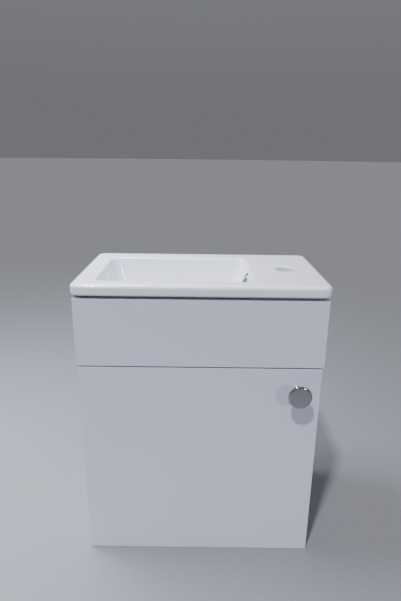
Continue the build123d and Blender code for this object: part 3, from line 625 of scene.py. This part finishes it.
def rim_rings(sizes):
    """The rings of the rim, from the ledge round the outside to the underside of the ledge."""
    top, low, relief = sizes.rim_curve / MM, 2.0, RIM_RELIEF
    rings = [rim_ring(top + 0.6, RIM_TOP)]
    for turn in arc_steps(0, 90, 12):
        rings.append(rim_ring(top * (1 - math.sin(math.radians(turn))),
                              RIM_TOP - top * (1 - math.cos(math.radians(turn)))))
    for turn in arc_steps(0, 90, 7):
        rings.append(rim_ring(low * (1 - math.cos(math.radians(turn))),
                              relief + low * (1 - math.sin(math.radians(turn)))))
    foot = ((2.6, relief), (7.6, relief), (8.4, 124.3), (8.8, 123.8), (9.0, 123.0), (9.0, 121.6),
            (9.2, 121.2), (9.6, RIM_FOOT), (15.0, RIM_FOOT), (15.6, 121.2), (15.9, 121.7),
            (16.0, 122.4), (16.0, LEDGE_UNDER - 0.8), (16.4, LEDGE_UNDER))
    return rings + [rim_ring(inset, z) for inset, z in foot]


def tap_rings():
    """The tap hole: its rounded edge, its wall and its lower edge."""
    rings = [even_ring(TAP_X, TAP_Y, TAP_HOLE + TAP_EDGE + 0.6, RIM_TOP)]
    for turn in arc_steps(0, 90, 8):
        rings.append(even_ring(TAP_X, TAP_Y, TAP_HOLE + TAP_EDGE * (1 - math.sin(math.radians(turn))),
                               RIM_TOP - TAP_EDGE * (1 - math.cos(math.radians(turn)))))
    return rings + [even_ring(TAP_X, TAP_Y, TAP_HOLE, LEDGE_UNDER + 0.8),
                    even_ring(TAP_X, TAP_Y, TAP_HOLE + 0.8, LEDGE_UNDER)]


def along_overflow(distance):
    """A point on the overflow's axis; positive distances lie inside the bowl."""
    lean = math.radians(RIGHT_DRAFT)
    x = BOWL_RIGHT - OVERFLOW_DROP * math.tan(lean) - distance * math.cos(lean)
    return Vector((x, WASTE_Y, RIM_TOP - OVERFLOW_DROP + distance * math.sin(lean)))


def on_overflow(name, profile, count, sharp=35.0, hollow=False):
    way = along_overflow(1.0) - along_overflow(0.0)
    return lathe(name, profile, along_overflow(0.0), way, count, sharp, hollow)


def prism(name, rings):
    """A closed piece from a stack of rings."""
    bm = bmesh.new()
    first, last = loft(bm, rings)
    bm.faces.new(first)
    bm.faces.new(last)
    return new_object(name, mesh_from(bm, name))


def duct_ring(x0, x1, half, radius, z):
    return rounded_ring(x0, x1, WASTE_Y - half, WASTE_Y + half, radius, z, 5, 1, 1)


def china_basin(sizes):
    """The whole basin as one closed shell, with the overflow's cast channel."""
    bm = bmesh.new()
    rim_top, rim_under = loft(bm, rim_rings(sizes))
    lip, skin = loft(bm, bowl_rings(sizes))
    hole, hole_under = loft(bm, tap_rings())
    span(bm, rim_top, lip, hole)
    span(bm, rim_under, skin, hole_under)
    piece = new_object("china_basin", mesh_from(bm, "china_basin"))
    slope = math.tan(math.radians(RIGHT_DRAFT))
    upright = []
    for z, cut in ((134.0, 0.0), (110.0, 0.0), (80.0, 0.0), (BOSS_LOW + 1.0, 0.0), (BOSS_LOW, DUCT_SOFT)):
        front = BOWL_RIGHT + 4.0 - slope * (RIM_TOP - max(z, 60.0))
        upright.append(duct_ring(front, DUCT_BACK - cut, DUCT_HALF - cut, 6.0, z))
    carve(piece, prism("duct", upright), "UNION")
    level = [duct_ring(WASTE_X + 28.0, DUCT_BACK - 3.0, DUCT_HALF - cut, 5.0, z)
             for z, cut in ((57.0, 0.0), (39.0, 0.0), (38.2, DUCT_SOFT))]
    carve(piece, prism("channel", level), "UNION")
    inside = DUCT_BACK - 5.0
    passage = [duct_ring(inside - 9.0, inside, 11.0, 3.0, z) for z in (43.0, 129.0)]
    carve(piece, prism("passage", passage), "DIFFERENCE")
    run = [duct_ring(WASTE_X, inside - 0.5, 10.5, 2.5, z) for z in (43.5, 51.0)]
    carve(piece, prism("run", run), "DIFFERENCE")
    mouth = [(0, -14.0), (12.0, -14.0), (12.0, 5.0), (0, 5.0)]
    carve(piece, on_overflow("mouth", mouth, 64), "DIFFERENCE")
    smooth_to(piece, 40.0)
    return piece


def curve_between(start, end, radius, count):
    """Points along an arc of a profile that bends towards the axis."""
    a, b = Vector(start), Vector(end)
    chord = b - a
    side = Vector((chord.y, -chord.x)).normalized()
    centre = (a + b) / 2 + side * math.sqrt(radius ** 2 - (chord.length / 2) ** 2)
    low, high = (math.atan2(point.y - centre.y, point.x - centre.x) % (2 * math.pi) for point in (a, b))
    turns = arc_steps(low, high, count)
    return [(centre.x + radius * math.cos(turn), centre.y + radius * math.sin(turn)) for turn in turns]


KNOB_X, KNOB_Z = 159.5, -35.0


def turned_knob():
    """The knob: a collar on the door, a waisted neck, and a flat face with a fine bevel behind a thin rim."""
    profile = [(0.0, 0.0), (8.2, 0.0), (8.5, 0.3), (8.5, 1.4), (8.3, 1.6), (7.6, 2.2)]
    profile += curve_between((7.4, 2.6), (17.7, 20.7), 24.0, 20)
    profile += [(18.6, 21.4), (19.1, 21.9), (19.3, 22.5), (19.3, 24.2), (19.2, 24.5), (19.0, 24.8)]
    profile += [(17.0, 25.85), (16.6, 25.97), (16.2, 26.0), (8.0, 26.0), (0.0, 26.0)]
    return lathe("turned_knob", profile, (KNOB_X, FRONT_FACE / MM, KNOB_Z), (0.0, -1.0, 0.0), 128, 50.0)


def overflow_trim():
    """The overflow's trim ring: a domed collar and a sleeve in the china."""
    profile = [(9.5, -7.0), (9.5, 1.6)]
    profile += [(9.7, 2.2), (10.2, 2.55), (11.0, 2.6), (12.2, 2.5), (13.1, 2.05), (13.7, 1.4), (14.0, 0.6)]
    profile += [(14.0, 0.0), (11.7, 0.0), (11.7, -7.0)]
    return on_overflow("overflow_trim", profile, 96, 40.0, True)


# The waste, in millimetres: its thread is a round-crested pipe thread
THREAD_PITCH, THREAD_DEPTH, THREAD_RADIUS = 2.309, 1.3, 20.95
THREAD_LOW, THREAD_HIGH = -0.6, 23.6
SHANK_RADIUS, WASTE_BORE = 20.7, 18.0


def on_waste(name, profile, count=96, sharp=35.0, hollow=False):
    return lathe(name, profile, (WASTE_X, WASTE_Y, 0.0), (0.0, 0.0, 1.0), count, sharp, hollow)


def slab(name, x_half, y_half, z0, z1, soft=0.6):
    """A level block on the waste's axis with softened edges above and below."""
    rings = []
    for z, cut in ((z0, soft), (z0 + soft, 0.0), (z1 - soft, 0.0), (z1, soft)):
        x, y = x_half - cut, y_half - cut
        rings.append(rounded_ring(WASTE_X - x, WASTE_X + x, WASTE_Y - y, WASTE_Y + y, 1.0, z, 3, 1, 1))
    return prism(name, rings)


def waste_tail(tree, material):
    """The waste: a dished flange, a tube with four windows, the plug's bridge and the threaded tail."""
    profile = [(WASTE_BORE, -1.0), (WASTE_BORE + 0.4, -1.4), (THREAD_RADIUS - 1.2, -1.4),
               (THREAD_RADIUS - 0.6, -1.1)]
    profile += [(THREAD_RADIUS, z) for z in arc_steps(THREAD_LOW, THREAD_HIGH, 126)]
    profile += [(THREAD_RADIUS, 24.0), (SHANK_RADIUS, 24.2), (SHANK_RADIUS, 42.0), (SHANK_RADIUS, 52.0),
                (SHANK_RADIUS, 60.6), (31.1, 60.6), (31.4, 60.8), (31.5, 61.2), (31.5, 62.2), (31.35, 62.9),
                (30.9, 63.4), (30.2, 63.6), (29.0, 63.6), (22.0, 62.9), (19.6, 62.5), (18.6, 62.0),
                (18.1, 61.2), (WASTE_BORE, 60.4)]
    body = on_waste("waste_tail", profile, 96, 35.0, True)
    for x_half, y_half in ((30.0, 5.0), (5.0, 30.0)):
        carve(body, slab("window", x_half, y_half, 43.0, 51.0, 0.8), "DIFFERENCE")
    carve(body, slab("bridge", 18.6, 3.0, 54.6, 57.6), "UNION")
    hub = [(0.0, 50.6), (5.0, 50.6), (5.5, 51.1), (5.5, 61.1), (5.0, 61.6), (0.0, 61.6)]
    carve(body, on_waste("hub", hub, 48), "UNION")
    bore = [(0.0, 49.0), (3.06, 49.0), (3.06, 63.0), (0.0, 63.0)]
    carve(body, on_waste("guide", bore, 48), "DIFFERENCE")
    smooth_to(body, 35.0)
    run_tree(body, tree, {"Centre": (WASTE_X * MM, WASTE_Y * MM, 0.0), "Radius": THREAD_RADIUS * MM,
                      "Pitch": THREAD_PITCH * MM, "Depth": THREAD_DEPTH * MM, "Low": THREAD_LOW * MM,
                      "High": THREAD_HIGH * MM, "Material": material})
    return body


def push_plug():
    """The push plug, up as it stands open: a slightly domed cap with a rolled edge, on a spindle."""
    profile = [(0.0, 30.6), (2.4, 30.6), (3.0, 31.2), (3.0, 70.9), (17.0, 70.9), (17.4, 71.3), (24.0, 71.3),
               (24.4, 70.9), (26.3, 70.9), (26.8, 71.1), (27.0, 71.6), (27.0, 72.3), (26.75, 73.0),
               (26.1, 73.6), (25.2, 74.0), (23.8, 74.25), (18.0, 74.6), (9.0, 74.83), (0.0, 74.9)]
    return on_waste("push_plug", profile)


def clamping_nut():
    """The waste's nut: a hexagon with turned corners over a round flange."""
    nut = prism("clamping_nut", [even_ring(WASTE_X, WASTE_Y, 27.5, z, 6) for z in (24.0, 30.6)])
    turned = [(0.0, 24.0), (24.4, 24.0), (27.6, 25.9), (27.6, 31.0), (0.0, 31.0)]
    carve(nut, on_waste("turned_corners", turned), "INTERSECT")
    flange = [(0.0, 30.0), (29.3, 30.0), (29.8, 30.2), (30.0, 30.7), (30.0, 32.5), (29.5, 33.0), (0.0, 33.0)]
    carve(nut, on_waste("flange", flange), "UNION")
    hole = [(0.0, 22.0), (22.6, 22.0), (21.0, 24.9), (21.0, 32.3), (21.8, 34.0), (0.0, 34.0)]
    carve(nut, on_waste("hole", hole), "DIFFERENCE")
    smooth_to(nut, 25.0)
    return nut


# How much of a screw's shank its pattern has before it is drawn out to its length
SCREW_STUB = 1.7


def cross_screw(head, height, shank):
    """A screw along +Z: a domed head below zero with a tapered cross recess, and a short pointed shank."""
    profile = [(0.0, -height), (head * 0.45, -height), (head * 0.72, -height * 0.93),
               (head * 0.9, -height * 0.72), (head, -height * 0.36), (head, -0.12), (head - 0.12, 0.0),
               (shank + 0.25, 0.0), (shank, 0.25), (shank, 1.0), (shank * 0.3, SCREW_STUB - 0.1),
               (0.0, SCREW_STUB)]
    screw = lathe("cross_screw", profile, (0.0, 0.0, 0.0), (0.0, 0.0, 1.0), 32)
    depth = min(1.5, height * 0.75)
    for long, wide in ((0.52, 0.13), (0.13, 0.52)):
        slot = []
        for z, taper in ((-height - 0.5, 1.1), (-height, 1.0), (depth - height, 0.55)):
            x, y = head * long * taper, head * wide * taper
            slot.append(rounded_ring(-x, x, -y, y, 0.1 * taper, z, 2, 1, 1))
        carve(screw, prism("recess", slot), "DIFFERENCE")
    return screw


def both_sides(*places):
    """Places in the right half and their mirror images, each a point and the way its screw goes."""
    return [item for point, way in places for item in
            ((point, way), ((-point[0], point[1], point[2]), (-way[0], way[1], way[2])))]


# The screws, in millimetres. Each set has its CAD node, its body, the head's radius and height, the shank's
# radius and length, and for each screw the middle of its head's underside and the way that it goes
HINGE_Z = (-72.0, -285.0)
CUP_SCREWS = [((-171.0, -213.9, z + side * 21.0), (0, -1, 0)) for z in HINGE_Z for side in (-1, 1)]
PLATE_SCREWS = [((-181.6, -176.0, z + side * 16.0), (-1, 0, 0)) for z in HINGE_Z for side in (-1, 1)]
BRACKET_SCREWS = both_sides(((182.0, -200.0, 53.0), (1, 0, 0)), ((171.0, -213.0, 53.0), (0, -1, 0)))
HANGER_SCREWS = both_sides(((167.0, -20.0, -15.0), (1, 0, 0)), ((167.0, -20.0, 3.0), (1, 0, 0)))
HANGER_ADJUSTERS = both_sides(((175.5, -46.0, -6.0), (0, 1, 0)), ((175.5, -46.0, 12.0), (0, 1, 0)))
FIXINGS = (
    ("hinge_cup_screws", "door", 3.2, 0.8, 1.75, 11.0, CUP_SCREWS),
    ("hinge_plate_screws", "cabinet", 3.6, 2.0, 1.75, 12.5, PLATE_SCREWS),
    ("fascia_bracket_screws", "cabinet", 3.6, 2.0, 1.75, 13.0, BRACKET_SCREWS),
    ("hanger_screws", "cabinet", 4.0, 2.0, 1.75, 29.0, HANGER_SCREWS),
    ("hanger_adjusters", "cabinet", 4.0, 2.0, 2.5, 10.0, HANGER_ADJUSTERS),
    ("knob_screw", "door", 4.2, 2.4, 1.95, 28.0, [((KNOB_X, -215.0, KNOB_Z), (0, -1, 0))]),
)


def set_of_fixings(tree, name, head, height, shank, length, places, material):
    """One set of screws as one piece."""
    mesh = bpy.data.meshes.new(name)
    mesh.from_pydata([Vector(point) * MM for point, way in places], [], [])
    ways = mesh.attributes.new("way", "FLOAT_VECTOR", "POINT")
    ways.data.foreach_set("vector", [part for point, way in places for part in way])
    piece = new_object("set_of_" + name, mesh)
    screw = cross_screw(head, height, shank)
    run_tree(piece, tree, {"Screw": screw, "Shank length": (length - SCREW_STUB) * MM, "Material": material})
    bpy.data.objects.remove(screw)
    return piece


# The stage, in metres: the floor's radius, where each distant light comes from with its width in degrees and
# its tint, and the softbox's size, place, spread in degrees and tint
FLOOR_RADIUS = 40.0
KEY_LIGHT = (Vector((-13.2, -26.0, 48.5)), 4.0, (0.95, 0.95, 1.0))
FILL_LIGHT = (Vector((18.0, -26.0, 10.0)), 6.0, (0.84, 0.86, 1.0))
SOFTBOX_SIZE, SOFTBOX_PLACE, SOFTBOX_SPREAD = (0.8, 0.5), (-0.6, 0.0, 1.1), 110.0
SOFTBOX_TINT = (0.82, 0.87, 1.0)


def coat(names, material):
    """Gives CAD nodes their material."""
    for name in names:
        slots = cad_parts[name].data.materials
        if len(slots):
            slots[0] = material
        else:
            slots.append(material)


class VANITY_OT_basin(bpy.types.Operator):
    """The glazed basin and the bead it is bedded on."""

    bl_idname = "vanity.basin"
    bl_label = "Basin"

    def execute(self, context):
        finish = context.scene.vanity_finish
        china = glazed_china(finish)
        settle(china_basin(context.scene.vanity_sizes), "cabinet", china, "vitreous_china", "basin")
        # Silicone sealant, run in and smoothed by hand: a soft sheen with shallow waves
        coat(["sealant_bead"], moulded("white sanitary sealant", finish.sealant, 0.35, 2.0, 0.05))
        return {"FINISHED"}


class VANITY_OT_boards(bpy.types.Operator):
    """The fascia, the door and the boards of the carcass."""

    bl_idname = "vanity.boards"
    bl_label = "Boards"

    def execute(self, context):
        finish = context.scene.vanity_finish
        coat(["fascia_panel", "door"], wrapped_board(finish))
        boards = (("upright", 0, ["side_panel_left", "side_panel_right"]),
                  ("rail", 1, ["back_rail_top", "back_rail_bottom"]),
                  ("level", 2, ["bottom_panel", "front_rail"]))
        for way, face_axis, names in boards:
            coat(names, faced_chipboard(finish, "melamine-faced chipboard, " + way, face_axis))
        return {"FINISHED"}


class VANITY_OT_chrome(bpy.types.Operator):
    """The knob, the overflow ring and the waste."""

    bl_idname = "vanity.chrome"
    bl_label = "Chromed fittings"

    def execute(self, context):
        finish = context.scene.vanity_finish
        # Chrome over polished metal: a cold, nearly sharp mirror
        polished = metal("polished chrome plating", finish.chrome, 0.04, 0.09, 3.0, 0.001)
        settle(turned_knob(), "door", polished, "chrome", "knob")
        settle(overflow_trim(), "cabinet", polished, "chrome", "overflow_ring")
        settle(push_plug(), "plug", polished, "chrome", "waste_plug")
        # Turned brass with thin chrome: a mirror softened by the marks of the lathe
        brass = metal("chromed brass", finish.brass, 0.10, 0.18, 1.2)
        settle(waste_tail(screw_thread_tree(), brass), "cabinet", brass, "chrome", "waste_body")
        # Pressed rubber: near black, with a dull, dusty skin
        rubber = moulded("black rubber", finish.rubber, 0.55, 0.8, 0.02)
        coat(["plug_seal", "waste_seal", "waste_gasket"], rubber)
        # Moulded nylon: a warm white with a waxy sheen
        nylon = moulded("white nylon", finish.nylon, 0.4, 1.0, 0.02)
        settle(clamping_nut(), "cabinet", nylon, "white_nylon", "waste_backnut")
        return {"FINISHED"}


class VANITY_OT_ironmongery(bpy.types.Operator):
    """The hinges, hangers, brackets and every small fixing."""

    bl_idname = "vanity.ironmongery"
    bl_label = "Ironmongery"

    def execute(self, context):
        finish = context.scene.vanity_finish
        # Pressed steel with nickel: a warm grey that blurs what it mirrors
        hinge = metal("nickel-plated pressed steel", finish.nickel, 0.20, 0.32, 0.6, 0.003)
        # Steel with bright zinc: bluish and cloudy, with a fine crystal grain
        zinc = metal("zinc-plated steel", finish.zinc, 0.28, 0.45, 0.9, 0.005, spread=0.14)
        # Zinc alloy as it leaves the die: a dull grey skin with a slightly pitted surface
        cast = metal("die-cast zinc alloy", finish.zinc_alloy, 0.40, 0.55, 0.5, 0.02, spread=0.1)
        # The hangers' housings, moulded in the same white nylon as the waste's nut
        nylon = moulded("white moulded nylon", finish.nylon, 0.38, 1.0, 0.02)
        for which in ("upper", "lower"):
            coat([f"{which}_hinge_{part}" for part in ("cup", "link", "arm", "plate")], hinge)
        tree = fixings_tree()
        for name, body, *shape in FIXINGS:
            on_hinge = name.startswith("hinge")
            plating, slot = (hinge, "nickel_plated_steel") if on_hinge else (zinc, "zinc_plated_steel")
            settle(set_of_fixings(tree, name, *shape, plating), body, plating, slot, name)
        coat(["cam_bolts"] + [f"{part}_{side}" for part in ("fascia_bracket", "hanger_hook", "wall_plate")
                              for side in ("left", "right")], zinc)
        coat(["cam_locks"], cast)
        coat(["hanger_body_left", "hanger_body_right"], nylon)
        coat(["door_buffers"], clear_polyurethane(finish))
        coat(["wood_dowels"], beech_wood(finish))
        return {"FINISHED"}


class VANITY_OT_stage(bpy.types.Operator):
    """The floor, the lights and the camera."""

    bl_idname = "vanity.stage"
    bl_label = "Stage"

    def execute(self, context):
        finish = context.scene.vanity_finish
        stage = context.scene.vanity_stage
        floor_z = cad_box[0].z
        mesh = bpy.data.meshes.new("studio_floor")
        bm = bmesh.new()
        bmesh.ops.create_circle(bm, cap_ends=True, segments=96, radius=FLOOR_RADIUS)
        bmesh.ops.translate(bm, verts=bm.verts, vec=(0.0, 0.0, floor_z))
        bm.to_mesh(mesh)
        bm.free()
        floor = new_object("studio_floor", mesh)
        # Painted board: an even, matt grey
        mesh.materials.append(moulded("matt studio floor", finish.floor, 0.6, 3.0, 0.02))

        world = bpy.data.worlds.new("studio")
        context.scene.world = world
        world.use_nodes = True
        tree = world.node_tree
        tree.nodes.clear()
        height = axes(tree, add(tree, "ShaderNodeTexCoord").outputs["Generated"])[2]
        dome = mixed(tree, mapped(tree, height, 0.1, 0.8, 0.0, 1.0), finish.surround, finish.ceiling)
        glow = add(tree, "ShaderNodeBackground", {"Color": dome, "Strength": stage.surround})
        add(tree, "ShaderNodeOutputWorld", {"Surface": glow.outputs[0]})

        self.light("key", stage.key, *KEY_LIGHT)
        self.light("fill", stage.fill, *FILL_LIGHT)
        self.softbox(stage.overhead)
        self.camera(context, stage)
        return {"FINISHED"}

    def light(self, name, strength, towards, softness, tint):
        """A soft distant light from the direction towards; softness is its width in degrees."""
        data = bpy.data.lights.new(name, "SUN")
        data.angle = math.radians(softness)
        data.energy = strength
        data.color = tint
        lamp = new_object(name, data)
        lamp.rotation_mode = "QUATERNION"
        lamp.rotation_quaternion = towards.to_track_quat("Z", "Y")

    def softbox(self, power):
        """A wide light above and to the left of the basin."""
        data = bpy.data.lights.new("softbox", "AREA")
        data.shape = "RECTANGLE"
        data.size, data.size_y = SOFTBOX_SIZE
        data.spread = math.radians(SOFTBOX_SPREAD)
        data.energy = power
        data.color = SOFTBOX_TINT
        new_object("softbox", data).location = SOFTBOX_PLACE

    def camera(self, context, stage):
        """The camera, at the photograph's viewing angle."""
        data = bpy.data.cameras.new("camera")
        data.lens = stage.lens
        data.sensor_width = 36.0
        data.clip_start = 0.02
        data.clip_end = 50.0
        camera = new_object("camera", data)
        tilt = Matrix.Rotation(math.pi / 2 - stage.pitch, 4, "X")
        lean = Matrix.Rotation(stage.roll, 4, "Z")
        place = Matrix.Translation((stage.camera_x, stage.camera_y, stage.camera_z))
        camera.matrix_world = place @ tilt @ lean
        context.scene.camera = camera


class VANITY_PT_unit(bpy.types.Panel):
    """The sidebar panel that lists the pieces."""

    bl_label = "Vanity Unit"
    bl_space_type = "VIEW_3D"
    bl_region_type = "UI"
    bl_category = "Vanity Unit"

    def draw(self, context):
        for group in (context.scene.vanity_finish, context.scene.vanity_sizes, context.scene.vanity_stage):
            for name in group.bl_rna.properties.keys():
                if name not in ("rna_type", "name"):
                    self.layout.prop(group, name)
        for operator in operators:
            self.layout.operator(operator.bl_idname)


operators = (VANITY_OT_basin, VANITY_OT_boards, VANITY_OT_chrome, VANITY_OT_ironmongery, VANITY_OT_stage)
classes = (VanityFinish, VanitySizes, VanityStage, *operators, VANITY_PT_unit)


def register():
    for cls in classes:
        bpy.utils.register_class(cls)
    bpy.types.Scene.vanity_finish = PointerProperty(type=VanityFinish)
    bpy.types.Scene.vanity_sizes = PointerProperty(type=VanitySizes)
    bpy.types.Scene.vanity_stage = PointerProperty(type=VanityStage)


def unregister():
    del bpy.types.Scene.vanity_finish
    del bpy.types.Scene.vanity_sizes
    del bpy.types.Scene.vanity_stage
    for cls in reversed(classes):
        bpy.utils.unregister_class(cls)


def main():
    register()
    bpy.ops.vanity.basin()
    bpy.ops.vanity.boards()
    bpy.ops.vanity.chrome()
    bpy.ops.vanity.ironmongery()
    bpy.ops.vanity.stage()


if __name__ == "__main__":
    main()
